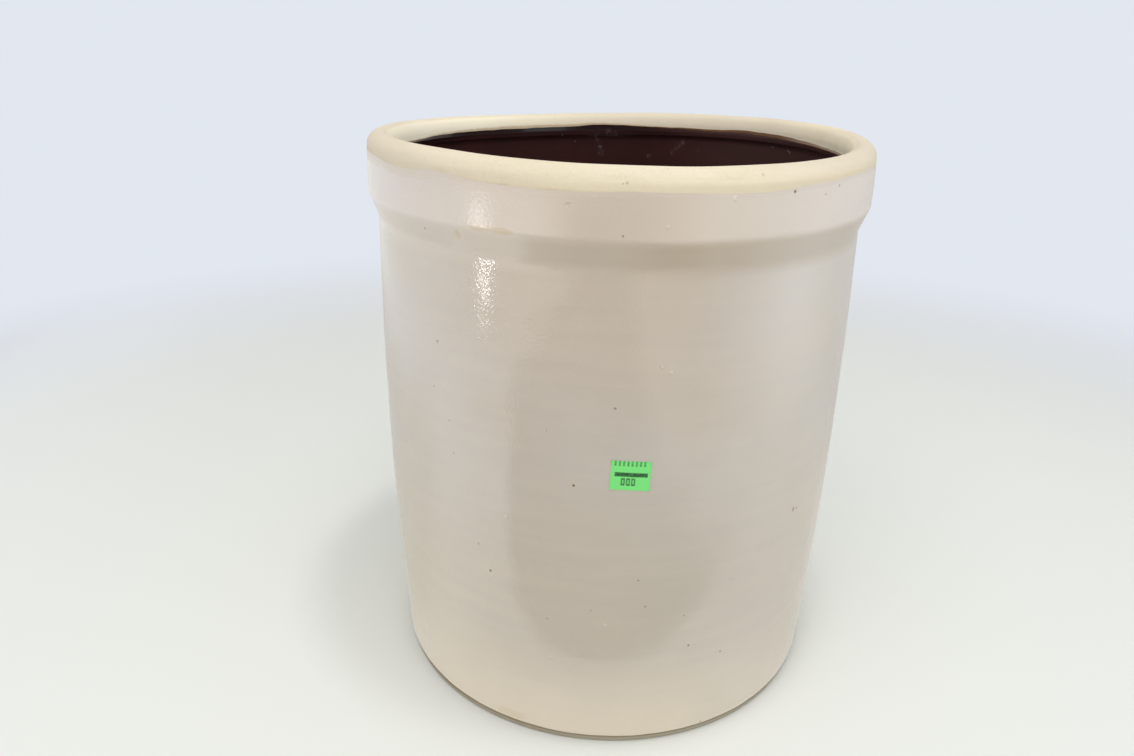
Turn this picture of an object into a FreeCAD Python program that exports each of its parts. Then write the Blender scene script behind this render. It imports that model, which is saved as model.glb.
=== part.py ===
import FreeCAD, Part
import math
import os
import Sketcher

# Open stoneware storage crock, in millimetres. +Z is up, and the origin is the centre of the flat base.
# The front of the pot, where its label is, faces -Y.

doc = FreeCAD.newDocument("Crock")

# Driving dimensions: name, value, meaning
SIZES = [
    ("height", 320.0, "base to the crest of the rim"),
    ("collar_radius", 140.0, "outside of the band under the rim"),
    ("collar_drop", 31.4, "crest of the rim to the lower edge of the band"),
    ("collar_step", 4.8, "how far the band stands out from the wall"),
    ("collar_edge_round", 3.5, "lower edge of the band"),
    ("cove_height", 13.0, "sloping step between band and wall"),
    ("cove_round", 9.0, "hollow where the step meets the wall"),
    ("base_taper", 3.9, "how much the wall draws in from cove to foot"),
    ("belly_rise", 3.4, "swell of the outer wall beyond a straight line"),
    ("bevel_height", 3.0, "bare bevel round the foot"),
    ("bevel_width", 3.4, "bare bevel round the foot"),
    ("foot_round", 1.0, "worn edge between bevel and base"),
    ("rim_thickness", 12.8, "across the rolled rim"),
    ("rim_outer_round", 7.3, "outer shoulder of the rolled rim"),
    ("crest_width", 0.2, "narrow flat left along the crest"),
    ("lip_depth", 15.0, "crest of the rim to the line where its roll ends inside"),
    ("lip_fade", 1.0, "height over which the roll blends into the inside wall"),
    ("head_wall", 7.6, "wall under the band, outside to inside"),
    ("base_wall", 11.2, "wall at the floor, outside to inside"),
    ("cavity_rise", 2.2, "swell of the inside wall beyond a straight line"),
    ("floor_thickness", 14.0, "clay floor"),
    ("floor_corner_round", 18.0, "hollow between floor and inside wall"),
    ("glaze_thickness", 0.6, "cream coat outside"),
    ("dip_depth", 10.2, "crest of the rim to the cream coat's upper edge"),
    ("dip_wave", 1.1, "rise and fall of that edge"),
    ("dip_lobes", 5.0, "its slow waves round the pot"),
    ("bare_strip", 1.2, "top of the bevel to the cream coat's lower edge"),
    ("foot_wave", 0.4, "rise and fall of that edge"),
    ("foot_lobes", 7.0, "its slow waves round the pot"),
    ("slip_thickness", 0.5, "brown coat inside"),
    ("slip_depth", 9.0, "crest of the rim to the brown coat's upper edge"),
    ("slip_wave", 1.2, "rise and fall of that edge"),
    ("slip_lobes", 4.0, "its slow waves round the pot"),
    ("label_width", 19.4, "paper label along the wall"),
    ("label_tall", 15.7, "paper label up the wall"),
    ("label_thickness", 0.15, "paper"),
    ("label_drop", 114.7, "lower edge of the band to the label's centre"),
    ("label_turn", 4.9, "degrees from the front, towards +X, to the label's centre"),
    ("label_tilt", 2.4, "degrees that the label leans clockwise, seen from outside"),
]
sheet = doc.addObject("Spreadsheet::Sheet", "Size")
for row, (alias, size, meaning) in enumerate(SIZES, start=1):
    sheet.set(f"A{row}", meaning)
    sheet.set(f"B{row}", str(size))
    sheet.setAlias(f"B{row}", alias)
doc.recompute()

# Radii and levels that several pieces share, as rules on the sheet
BAND = "Size.collar_radius"
WALL_HEAD = "(Size.collar_radius - Size.collar_step)"
WALL_FOOT = f"({WALL_HEAD} - Size.base_taper)"
MOUTH = "(Size.collar_radius - Size.rim_thickness)"
CAVITY_HEAD = f"({WALL_HEAD} - Size.head_wall)"
CAVITY_FOOT = f"({WALL_FOOT} - Size.base_wall)"
CREST = "Size.height"
FLOOR = "Size.floor_thickness"
BEVEL = "Size.bevel_height"
BAND_LOW = "(Size.height - Size.collar_drop)"
COVE_LOW = f"({BAND_LOW} - Size.cove_height)"
LIP_LOW = "(Size.height - Size.lip_depth)"
CAVITY_TOP = f"({LIP_LOW} - Size.lip_fade)"
COAT = "Size.glaze_thickness"
SLIP = "Size.slip_thickness"
SHOULDER = "min(Size.rim_outer_round; 0.8 * Size.rim_thickness)"
ROLL = f"(Size.rim_thickness - {SHOULDER} - Size.crest_width)"

# Forms that only cut or carry a coat start from this radius, deep inside the pot
CORE = f"({MOUTH} * 0.7)"


def bow(run, rise):
    """Rule for the radius of an arc from its chord, given squared, and its rise."""
    return f"({run} / (8 * {rise}) + {rise} / 2)"


WALL_BOW = bow(f"(({COVE_LOW} - {BEVEL}) ^ 2 + Size.base_taper ^ 2)", "Size.belly_rise")
CAVITY_BOW = bow(f"(({CAVITY_TOP} - {FLOOR}) ^ 2 + ({CAVITY_HEAD} - {CAVITY_FOOT}) ^ 2)",
                 "Size.cavity_rise")


def value(rule):
    """Present value of a rule on the sheet, in millimetres or degrees."""
    result = sheet.evalExpression(rule)
    return float(getattr(result, "Value", result))


def tie(sketch, name, rule, kind, *where):
    """Dimension of a sketch that follows a rule on the sheet."""
    index = sketch.addConstraint(Sketcher.Constraint(kind, *where, value(rule)))
    sketch.renameConstraint(index, name)
    sketch.setExpression(f"Constraints.{name}", rule)


def upright_sketch(body, name):
    """Empty sketch on the body's own XZ plane: x is outwards and y is up."""
    sketch = body.newObject("Sketcher::SketchObject", name)
    plane = next(item for item in body.Origin.OriginFeatures if item.Role == "XZ_Plane")
    sketch.AttachmentSupport = [(plane, "")]
    sketch.MapMode = "FlatFace"
    return sketch


def bowed_edge(low, high, radius, hollow):
    """Arc between two points. It swells away from the axis, or towards the axis where it is hollow."""
    chord = high - low
    reach = math.sqrt(radius ** 2 - chord.Length ** 2 / 4)
    across = FreeCAD.Vector(-chord.y, chord.x, 0).normalize() * (-reach if hollow else reach)
    centre = (low + high) / 2 + across
    start, end = (high, low) if hollow else (low, high)
    angles = [math.atan2(point.y - centre.y, point.x - centre.x) for point in (start, end)]
    return Part.ArcOfCircle(Part.Circle(centre, FreeCAD.Vector(0, 0, 1), radius), *angles)


def half_section(body, name, corners, bows):
    """Closed outline with its corners in order, each as name, rule for r and rule for z.

    bows gives, for each corner that an arc starts from, the arc's radius rule and whether it is hollow.
    """
    sketch = upright_sketch(body, name)
    points = [FreeCAD.Vector(value(r), value(z), 0) for _, r, z in corners]
    ends = []
    for place, (label, _, _) in enumerate(corners):
        here = points[place]
        there = points[(place + 1) % len(points)]
        if label in bows:
            rule, hollow = bows[label]
            low, high = sorted((here, there), key=lambda point: point.y)
            sketch.addGeometry(bowed_edge(low, high, value(rule), hollow))
            starts_here = (here is low) != hollow
            ends.append((1, 2) if starts_here else (2, 1))
            tie(sketch, f"{label}_bow", rule, "Radius", place)
        else:
            sketch.addGeometry(Part.LineSegment(here, there))
            ends.append((1, 2))
    for place, (label, r, z) in enumerate(corners):
        following = (place + 1) % len(corners)
        here = ends[place][0]
        sketch.addConstraint(Sketcher.Constraint(
            "Coincident", place, ends[place][1], following, ends[following][0]))
        for letter, rule, kind, axis in (("r", r, "DistanceX", -2), ("z", z, "DistanceY", -1)):
            if rule == "0":
                sketch.addConstraint(Sketcher.Constraint("PointOnObject", place, here, axis))
            else:
                tie(sketch, f"{label}_{letter}", rule, kind, -1, 1, place, here)
    return sketch


def turned(name, corners, bows):
    """Body turned a full circle round Z from its half section."""
    body = doc.addObject("PartDesign::Body", name)
    sketch = half_section(body, f"{name}_section", corners, bows)
    turn = body.newObject("PartDesign::Revolution", f"{name}_turn")
    turn.Profile = sketch
    turn.ReferenceAxis = (sketch, ["V_Axis"])
    turn.Angle = 360
    doc.recompute()
    return body


def round_ring(body, name, r, z, radius):
    """Fillet on the circular edge of a turned body that lies at r and z."""
    base = body.Tip
    wanted = (value(r), value(z))
    rings = []
    for place, edge in enumerate(base.Shape.Edges, start=1):
        if isinstance(edge.Curve, Part.Circle):
            if math.dist((edge.Curve.Radius, edge.Curve.Center.z), wanted) < 1e-4:
                rings.append(f"Edge{place}")
    fillet = body.newObject("PartDesign::Fillet", name)
    fillet.Base = (base, rings)
    fillet.Radius = value(radius)
    fillet.setExpression("Radius", radius)
    doc.recompute()


def joined(kind, name, base, tool):
    """Boolean of two objects: Part::Cut or Part::Common."""
    result = doc.addObject(kind, name)
    result.Base = base
    result.Tool = tool
    doc.recompute()
    return result


# Outside and inside forms of the pot

def outside_form(name, coat):
    """Pot with no hollow, its wall, band and rim moved out by the thickness of a coat."""
    body = turned(name, [
        ("base_centre", "0", "0"),
        ("foot", f"{WALL_FOOT} - Size.bevel_width", "0"),
        ("wall_foot", f"{WALL_FOOT} + {coat}", BEVEL),
        ("wall_head", f"{WALL_HEAD} + {coat}", COVE_LOW),
        ("band_foot", f"{BAND} + {coat}", BAND_LOW),
        ("band_head", f"{BAND} + {coat}", f"{CREST} + {coat}"),
        ("crest_centre", "0", f"{CREST} + {coat}"),
    ], {"wall_foot": (WALL_BOW, False)})
    round_ring(body, f"{name}_cove", f"{WALL_HEAD} + {coat}", COVE_LOW, f"Size.cove_round - {coat}")
    round_ring(body, f"{name}_band_edge", f"{BAND} + {coat}", BAND_LOW, f"Size.collar_edge_round + {coat}")
    round_ring(body, f"{name}_shoulder", f"{BAND} + {coat}", f"{CREST} + {coat}", f"{SHOULDER} + {coat}")
    return body


def inside_form(name, coat, top):
    """Hollow of the pot as a solid, drawn in by the thickness of a coat and carried up past the rim."""
    body = turned(name, [
        ("floor_centre", "0", f"{FLOOR} + {coat}"),
        ("cavity_foot", f"{CAVITY_FOOT} - {coat}", f"{FLOOR} + {coat}"),
        ("cavity_head", f"{CAVITY_HEAD} - {coat}", CAVITY_TOP),
        ("lip", f"{MOUTH} - {coat}", LIP_LOW),
        ("roll_foot", f"{MOUTH} - {coat}", f"{CREST} - {ROLL}"),
        ("roll_head", f"{MOUTH} + {ROLL}", f"{CREST} + {coat}"),
        ("top", f"{MOUTH} + {ROLL}", top),
        ("top_centre", "0", top),
    ], {"cavity_foot": (CAVITY_BOW, False), "roll_foot": (f"{ROLL} + {coat}", True)})
    round_ring(body, f"{name}_corner", f"{CAVITY_FOOT} - {coat}", f"{FLOOR} + {coat}",
               f"Size.floor_corner_round - {coat}")
    return body


pot_form = outside_form("pot_form", "0")
round_ring(pot_form, "foot_edge", f"{WALL_FOOT} - Size.bevel_width", "0", "Size.foot_round")
coat_form = outside_form("coat_form", COAT)
paper_form = outside_form("paper_form", f"({COAT} + Size.label_thickness)")
cavity_form = inside_form("cavity_form", "0", f"{CREST} + 2 * {ROLL}")
slip_form = inside_form("slip_form", SLIP, f"{CREST} + 3 * {ROLL}")


# Wavy lines where a dipped coat ends

def wavy_ring(name, radius, level, wave, lobes):
    """Closed curve round the pot that rises and falls like the edge of a dipped coat."""
    count = int(round(lobes))
    steps = 24 * (count + 3)
    points = []
    for step in range(steps):
        angle = 2 * math.pi * step / steps
        swing = 0.6 * math.cos(count * angle + 0.7) + 0.4 * math.sin((count + 3) * angle)
        rise = level + wave * swing
        points.append(FreeCAD.Vector(radius * math.cos(angle), radius * math.sin(angle), rise))
    curve = Part.BSplineCurve()
    curve.interpolate(points, PeriodicFlag=True)
    ring = doc.addObject("Part::Feature", name)
    ring.Shape = curve.toShape()
    return ring


def dip_cutter(name, level, line, reach, up):
    """Solid on one side of a wavy face, ruled between a ring in the core and one outside the pot."""
    wave = value(f"Size.{line}_wave")
    lobes = value(f"Size.{line}_lobes")
    inner = wavy_ring(f"{name}_inner", value(f"{CORE} * 0.8"), value(level), wave, lobes)
    outer = wavy_ring(f"{name}_outer", value(f"{BAND} * 1.1"), value(level), wave, lobes)
    face = doc.addObject("Part::RuledSurface", f"{name}_face")
    face.Curve1 = (inner, ["Edge1"])
    face.Curve2 = (outer, ["Edge1"])
    solid = doc.addObject("Part::Extrusion", name)
    solid.Base = face
    solid.DirMode = "Custom"
    solid.Dir = FreeCAD.Vector(0, 0, 1 if up else -1)
    solid.setExpression("LengthFwd", reach)
    solid.Solid = True
    doc.recompute()
    return solid


COAT_HEAD = f"({CREST} - Size.dip_depth)"
COAT_FOOT = f"({BEVEL} + Size.bare_strip)"
SLIP_HEAD = f"({CREST} - Size.slip_depth)"
above_dip = dip_cutter("above_dip", COAT_HEAD, "dip", "3 * Size.dip_depth", True)
below_foot = dip_cutter("below_foot", COAT_FOOT, "foot", f"3 * {COAT_FOOT}", False)
above_slip = dip_cutter("above_slip", SLIP_HEAD, "slip", f"3 * (Size.slip_depth + {ROLL})", True)

# Core that keeps the middle of the outside forms out of the coats
core = doc.addObject("Part::Cylinder", "core")
core.setExpression("Radius", CORE)
core.setExpression("Height", f"{CREST} + {COAT} + Size.label_thickness")
doc.recompute()

# Fired clay: floor, bellied wall, cove, band and rolled rim in one thrown piece
clay = joined("Part::Cut", "clay", pot_form, cavity_form)
clay.Label = "stoneware_body"

# Cream coat outside, between its two wavy lines
coat = joined("Part::Cut", "coat_skin", coat_form, pot_form)
coat = joined("Part::Cut", "coat_ring", coat, core)
coat = joined("Part::Cut", "coat_dipped", coat, above_dip)
coat = joined("Part::Cut", "coat", coat, below_foot)
coat.Label = "outer_glaze"

# Brown coat inside, on floor and wall, below its own wavy line
slip = joined("Part::Cut", "slip_skin", cavity_form, slip_form)
slip = joined("Part::Cut", "slip", slip, above_slip)
slip.Label = "inner_glaze"


# Paper label: a sheet that follows the curve of the cream coat

def label_bar():
    """Bar with the label's outline that runs from the pot's axis out through its wall."""
    body = doc.addObject("PartDesign::Body", "label_bar")
    sketch = upright_sketch(body, "label_outline")
    wide = value("Size.label_width") / 2
    tall = value("Size.label_tall") / 2
    signs = ((-1, -1), (1, -1), (1, 1), (-1, 1))
    corners = [FreeCAD.Vector(wide * right, tall * top, 0) for right, top in signs]
    for place in range(4):
        sketch.addGeometry(Part.LineSegment(corners[place], corners[(place + 1) % 4]))
    for place in range(4):
        sketch.addConstraint(Sketcher.Constraint("Coincident", place, 2, (place + 1) % 4, 1))
        sketch.addConstraint(Sketcher.Constraint("Vertical" if place % 2 else "Horizontal", place))
    sketch.addConstraint(Sketcher.Constraint("Symmetric", 0, 1, 1, 2, -1, 1))
    tie(sketch, "wide", "Size.label_width", "DistanceX", 0, 1, 0, 2)
    tie(sketch, "tall", "Size.label_tall", "DistanceY", 1, 1, 1, 2)
    level = f"{BAND_LOW} - Size.label_drop"
    lean = FreeCAD.Rotation(FreeCAD.Vector(0, 0, -1), value("Size.label_tilt"))
    sketch.AttachmentOffset = FreeCAD.Placement(FreeCAD.Vector(0, value(level), 0), lean)
    sketch.setExpression("AttachmentOffset.Base.y", level)
    sketch.setExpression("AttachmentOffset.Rotation.Angle", "Size.label_tilt")
    pad = body.newObject("PartDesign::Pad", "label_reach")
    pad.Profile = sketch
    pad.setExpression("Length", f"{BAND} + {COAT}")
    turn = FreeCAD.Rotation(FreeCAD.Vector(0, 0, 1), value("Size.label_turn"))
    body.Placement = FreeCAD.Placement(FreeCAD.Vector(), turn)
    body.setExpression("Placement.Rotation.Angle", "Size.label_turn")
    doc.recompute()
    return body


paper = joined("Part::Common", "paper_plug", paper_form, label_bar())
paper = joined("Part::Cut", "paper", paper, coat_form)
paper.Label = "paper_label"

# Every object is checked before any piece is written
pieces = [clay, coat, slip, paper]
for item in doc.Objects:
    bad = {"Invalid", "Error"} & set(item.State)
    if bad:
        raise RuntimeError(f"{item.Name} did not build: {sorted(bad)}")
for item in pieces:
    if item.Shape.isNull() or not item.Shape.isValid():
        raise RuntimeError(f"{item.Label} has no valid shape")
    if len(item.Shape.Solids) != 1:
        raise RuntimeError(f"{item.Label} is {len(item.Shape.Solids)} solids instead of one")
os.makedirs("parts", exist_ok=True)
for item in pieces:
    item.Shape.exportStep(f"parts/{item.Label}.step")
    box = item.Shape.optimalBoundingBox(False)
    print(f"{item.Label}: {item.Shape.Volume / 1000:.2f} cm3, {len(item.Shape.Faces)} faces")
    print(f"  lowest corner {box.XMin:.2f}, {box.YMin:.2f}, {box.ZMin:.2f}")
    print(f"  highest corner {box.XMax:.2f}, {box.YMax:.2f}, {box.ZMax:.2f}")
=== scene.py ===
import math

import bmesh
import bpy
import numpy as np
from mathutils import Matrix, Vector

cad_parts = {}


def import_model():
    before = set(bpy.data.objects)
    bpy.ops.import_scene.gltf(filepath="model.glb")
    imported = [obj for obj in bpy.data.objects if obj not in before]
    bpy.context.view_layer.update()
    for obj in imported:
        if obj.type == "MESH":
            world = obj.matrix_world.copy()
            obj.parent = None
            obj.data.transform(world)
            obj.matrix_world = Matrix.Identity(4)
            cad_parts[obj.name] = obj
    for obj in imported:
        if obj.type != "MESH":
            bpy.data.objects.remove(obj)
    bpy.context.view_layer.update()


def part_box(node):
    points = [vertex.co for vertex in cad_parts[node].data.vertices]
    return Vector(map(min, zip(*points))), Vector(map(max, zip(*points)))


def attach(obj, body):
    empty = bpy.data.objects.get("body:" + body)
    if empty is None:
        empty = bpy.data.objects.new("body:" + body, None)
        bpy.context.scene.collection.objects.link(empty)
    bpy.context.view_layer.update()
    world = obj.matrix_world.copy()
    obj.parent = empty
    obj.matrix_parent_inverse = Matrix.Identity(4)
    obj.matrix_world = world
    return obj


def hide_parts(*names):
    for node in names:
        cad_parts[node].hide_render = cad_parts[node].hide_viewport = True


# Looks of an open stoneware crock: bare rim and foot, cream coat outside, brown slip inside, paper label

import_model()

MM = 0.001
_, clay_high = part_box("stoneware_body")
_, coat_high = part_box("outer_glaze")
slip_low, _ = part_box("inner_glaze")

# Outside of the pot
HEIGHT = clay_high.z
BAND = clay_high.x
BAND_LOW = HEIGHT - 31.4 * MM
BAND_ROUND = 5 * MM
COVE_LOW = BAND_LOW - 13 * MM
COVE_ROUND = 14 * MM
WALL_HEAD = BAND - 4.8 * MM
WALL_FOOT = WALL_HEAD - 3.9 * MM
BELLY = 3.4 * MM
BEVEL_HIGH = 3.2 * MM
BEVEL_WIDE = 1.2 * MM
FOOT_ROUND = 1 * MM

# Rim: its rolled crest, and the inner face that leans in to the throat and ends at the lip's lower edge
RIM_WIDE = 12.8 * MM
SHOULDER = 7.3 * MM
MOUTH = BAND - RIM_WIDE
CREST_WIDE = 3.6 * MM
CREST_ROUND = 5.8 * MM
ROLL_LOW = HEIGHT - 5 * MM
ROLL_ROUND = 11 * MM
THROAT = MOUTH - 1.9 * MM
THROAT_LEVEL = HEIGHT - 11.5 * MM
THROAT_ROUND = 3 * MM
LIP_LEAN = 0.108
LIP_LOW = HEIGHT - 14 * MM
LIP_STEP = 0.3 * MM
LIP_ROUND = 0.8 * MM

# Inside of the pot
CAVITY_TOP = LIP_LOW - 2 * MM
CAVITY_HEAD = WALL_HEAD - 7.6 * MM
CAVITY_FOOT = WALL_FOOT - 11.2 * MM
CAVITY_BELLY = 2.2 * MM
FLOOR = slip_low.z
FLOOR_ROUND = 18 * MM

# Coats: how thick they are, how deep their hidden backs sit in the clay, and what is left at an edge
COAT = coat_high.x - BAND
SLIP = 0.5 * MM
BEDDING = 0.15 * MM
EDGE_LEFT = 0.12 * MM

# Where the coats begin and end, and how they thin out there
COAT_HEAD = HEIGHT - 10.2 * MM
COAT_THINS = 9 * MM
COAT_THIN_ROUND = 180 * MM
COAT_FOOT = 4.2 * MM
COAT_FOOT_RISE = 1.6 * MM
COAT_FOOT_ROUND = 1 * MM
SLIP_HEAD = HEIGHT - 9 * MM
SLIP_LIP_ROUND = 1 * MM
SLIP_BACK_ROUND = 0.6 * MM

# Levels past which a wavy edge leaves its coat still
HEAD_STILL = BAND_LOW + 4 * MM
FOOT_STILL = 14 * MM
SLIP_STILL = THROAT_LEVEL - 1 * MM

# How far the fired rim strays from true: a saddle on the axes, and one on the diagonals between them
SADDLE_SQUARE = 0.7 * MM
SADDLE_DIAGONAL = 1.3 * MM

# Paper label
LABEL_WIDE = 19.4 * MM
LABEL_TALL = 15.7 * MM
LABEL_THICK = 0.15 * MM
LABEL_LEVEL = BAND_LOW - 114.7 * MM
LABEL_TURN = math.radians(-90 + 4.9)
LABEL_LEAN = math.radians(2.4)
LABEL_GAP = 0.03 * MM
LABEL_LIFT = 0.35 * MM
LABEL_FLAT = 0.72
LABEL_CURL = 12
LABEL_COLUMNS = 30
LABEL_ROWS = 24

# Bends in degrees that stay sharp when a piece is shaded smooth
POT_SHARP = 50
LABEL_SHARP = 40
SWEEP_SHARP = 60

# Fineness of the meshes: steps round the pot and round a corner, and the longest edges of a section
STEPS_ROUND = 320
STEPS_PER_BEND = 0.9
FEWEST_STEPS = 4
SAME_PLACE = BEDDING / 9
MERGED = MM / 1000
CLAY_FINE = 1.4 * MM
CLAY_PLAIN = 9 * MM
CLAY_BARE_HEAD = COAT_HEAD - 4 * MM
CLAY_BARE_FOOT = 2 * BEVEL_HIGH
CREAM_FINE = 2.4 * MM
CREAM_PLAIN = 4.8 * MM
CREAM_PLAIN_LOW = 0.03
CREAM_PLAIN_HIGH = 0.24
BROWN_FINE = 3 * MM
BROWN_PLAIN = 7 * MM
BROWN_PLAIN_HIGH = 0.24

# Edges of the dipped coats: degrees round the pot from +X, and millimetres over the base. The front is -90.
COAT_EDGE = (
    (-180, 310.4), (-153, 311.2), (-137, 309.4), (-127, 311.3), (-113, 309.3), (-102, 308.9), (-85, 310.2),
    (-62, 309.4), (-51, 311.0), (-34, 312.0), (0, 310.6), (40, 309.6), (75, 310.9), (118, 309.3),
    (150, 311.2),
)
SLIP_EDGE = (
    (-165, 310.6), (-120, 309.8), (-80, 311.2), (-30, 309.9), (14, 309.3), (38, 311.0), (47, 311.6),
    (60, 310.8), (78, 311.2), (95, 312.6), (109, 311.4), (135, 311.0), (152, 310.5), (166, 309.4),
)
FOOT_EDGE = (
    (-170, 5.2), (-120, 5.6), (-95, 5.0), (-60, 5.1), (-20, 4.6), (30, 5.2), (80, 4.7), (130, 5.1),
)

# Fine unevenness of edges and rim, as waves round the pot: millimetres high, how many, and their phase
EDGE_WAVES = ((0.07, 23, 0), (0.06, 37, 1), (0.05, 61, 2))
RIM_WAVES = ((0.12, 5, 1), (0.07, 11, 0), (0.05, 17, 2))


# Modelling

def open_piece(piece):
    """Take a piece into edit mode with nothing selected."""
    bpy.ops.object.select_all(action="DESELECT")
    bpy.context.view_layer.objects.active = piece
    piece.select_set(True)
    bpy.ops.object.mode_set(mode="EDIT")
    bpy.context.tool_settings.mesh_select_mode = (True, False, False)
    bpy.ops.mesh.select_all(action="DESELECT")


def close_piece():
    bpy.ops.object.mode_set(mode="OBJECT")


def pick_points(piece, wanted):
    """In edit mode, select the points whose place passes the test, and the edges between them."""
    bpy.ops.mesh.select_all(action="DESELECT")
    mesh = bmesh.from_edit_mesh(piece.data)
    for point in mesh.verts:
        point.select_set(wanted(point.co))
    mesh.select_flush(True)
    bmesh.update_edit_mesh(piece.data)


def pick_long_edges(piece, longest):
    """In edit mode, select the edges that are longer than they may be where they lie, and count them."""
    bpy.ops.mesh.select_all(action="DESELECT")
    mesh = bmesh.from_edit_mesh(piece.data)
    found = 0
    for edge in mesh.edges:
        middle = (edge.verts[0].co + edge.verts[1].co) / 2
        if edge.calc_length() > longest(middle):
            edge.select_set(True)
            found += 1
    bmesh.update_edit_mesh(piece.data)
    return found


def draw_wire(name, places):
    """One point drawn from place to place as a wire, left in edit mode."""
    bpy.ops.object.select_all(action="DESELECT")
    bpy.ops.mesh.primitive_plane_add(size=MM)
    piece = bpy.context.object
    piece.name = name
    open_piece(piece)
    bpy.ops.mesh.select_all(action="SELECT")
    bpy.ops.mesh.merge(type="CENTER")
    bpy.ops.transform.translate(value=places[0])
    for here, there in zip(places, places[1:]):
        bpy.ops.mesh.extrude_region_move(TRANSFORM_OT_translate={"value": there - here})
    return piece


def round_corner(piece, before, corner, after, rounding):
    """Round one corner of a wire. The corners before and after it give its bend."""
    bend = (corner - before).angle(after - corner)
    steps = max(FEWEST_STEPS, round(bend * rounding / MM * STEPS_PER_BEND))
    pick_points(piece, lambda co: (co - corner).length < SAME_PLACE)
    bpy.ops.mesh.bevel(affect="VERTICES", offset=rounding * math.tan(bend / 2), segments=steps, profile=0.5)


def trace_section(name, corners, closed):
    """Half section of the pot as a wire. A corner is its r, its z and its rounding."""
    places = [Vector((r, 0, z)) for r, z, _ in corners]
    piece = draw_wire(name, places)
    if closed:
        ends = (places[0], places[-1])
        pick_points(piece, lambda co: min((co - end).length for end in ends) < SAME_PLACE)
        bpy.ops.mesh.edge_face_add()
    for number, (_, _, rounding) in enumerate(corners):
        if rounding:
            after = places[(number + 1) % len(places)]
            round_corner(piece, places[number - 1], places[number], after, rounding)
    return piece


def bulge(rise, share):
    """A belly that rises to its full height halfway up."""
    return 4 * rise * share * (1 - share)


def swell_wall(place):
    """Push a point of the wall out with its belly, outside or inside."""
    inside = place.x < (CAVITY_HEAD + WALL_FOOT) / 2
    low, high, rise = (FLOOR, CAVITY_TOP, CAVITY_BELLY) if inside else (BEVEL_HIGH, COVE_LOW, BELLY)
    share = (place.z - low) / (high - low)
    if 0 < share < 1 and place.x > CAVITY_FOOT - FLOOR_ROUND:
        place.x += bulge(rise, share)


def turn_section(piece, longest):
    """Divide a wire until no edge is longer than it may be, and turn it into a pot."""
    while pick_long_edges(piece, longest):
        bpy.ops.mesh.subdivide(number_cuts=1)
    close_piece()
    for point in piece.data.vertices:
        swell_wall(point.co)
    bpy.ops.object.modifier_add(type="SCREW")
    turn = piece.modifiers[-1]
    turn.steps = turn.render_steps = STEPS_ROUND
    turn.use_merge_vertices = True
    bpy.ops.object.modifier_apply(modifier=turn.name)
    open_piece(piece)
    bpy.ops.mesh.select_all(action="SELECT")
    bpy.ops.mesh.remove_doubles(threshold=MERGED)
    bpy.ops.mesh.normals_make_consistent(inside=False)
    close_piece()


def places_of(piece):
    """Points of a piece as an array."""
    flat = np.empty(len(piece.data.vertices) * 3)
    piece.data.vertices.foreach_get("co", flat)
    return flat.reshape(-1, 3)


def put_places(piece, places):
    piece.data.vertices.foreach_set("co", places.ravel())
    piece.data.update()


def angles_of(places):
    """Angles round the pot from +X, in radians."""
    return np.arctan2(places[:, 1], places[:, 0])


def ease(share):
    """0 to 1 with a soft start and end."""
    share = np.clip(share, 0, 1)
    return share * share * (3 - 2 * share)


def waves(angles, rows):
    """Sum of sine waves round the pot, in millimetres."""
    return sum(height * np.sin(count * angles + phase) for height, count, phase in rows)


def edge_level(knots, angles):
    """Height of a dipped edge at these angles: it runs smoothly from knot to knot, and is finely uneven."""
    first_turn, first_level = knots[0]
    ring = np.array(knots + ((first_turn + 360, first_level),))
    places = ring[:, 0]
    levels = ring[:, 1] * MM
    turns = (np.degrees(angles) - first_turn) % 360 + first_turn
    number = np.clip(np.searchsorted(places, turns, side="right") - 1, 0, len(places) - 2)
    share = (turns - places[number]) / (places[number + 1] - places[number])
    climb = levels[number + 1] - levels[number]
    return levels[number] + climb * ease(share) + waves(angles, EDGE_WAVES) * MM


def lip(level):
    """Radius of the rim's leaning inner face at this height."""
    return THROAT + (level - THROAT_LEVEL) * LIP_LEAN


def follow_edge(piece, knots, level, still, lean=0):
    """Move the rows near a straight edge so that it follows its knots. Rows past the still level stay."""
    places = places_of(piece)
    share = ease((places[:, 2] - still) / (level - still))
    rise = share * (edge_level(knots, angles_of(places)) - level)
    grow = 1 + rise * lean / np.maximum(np.hypot(places[:, 0], places[:, 1]), MM)
    places *= np.column_stack((grow, grow, np.ones_like(grow)))
    places[:, 2] += rise
    put_places(piece, places)


def mark_distance(piece, name, knots, sign):
    """Store how far each point lies below an edge, or above it, as a value that the finish reads."""
    places = places_of(piece)
    distance = sign * (edge_level(knots, angles_of(places)) - places[:, 2]) / MM
    layer = piece.data.attributes.new(name, "FLOAT", "POINT")
    layer.data.foreach_set("value", distance.astype(np.float32))


def kiln_swell(angles, share):
    """Slow swells of the fired wall, in millimetres. share is 0 at the base and 1 at the top."""
    swell = 0.10 * np.sin(3 * angles + 9 * share)
    swell += 0.06 * np.sin(5 * angles - 14 * share + 1)
    swell += 0.05 * np.sin(31 * share + 2 * np.sin(2 * angles))
    swell += 0.03 * np.sin(71 * share + 1.5 * np.sin(3 * angles))
    return swell


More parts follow.
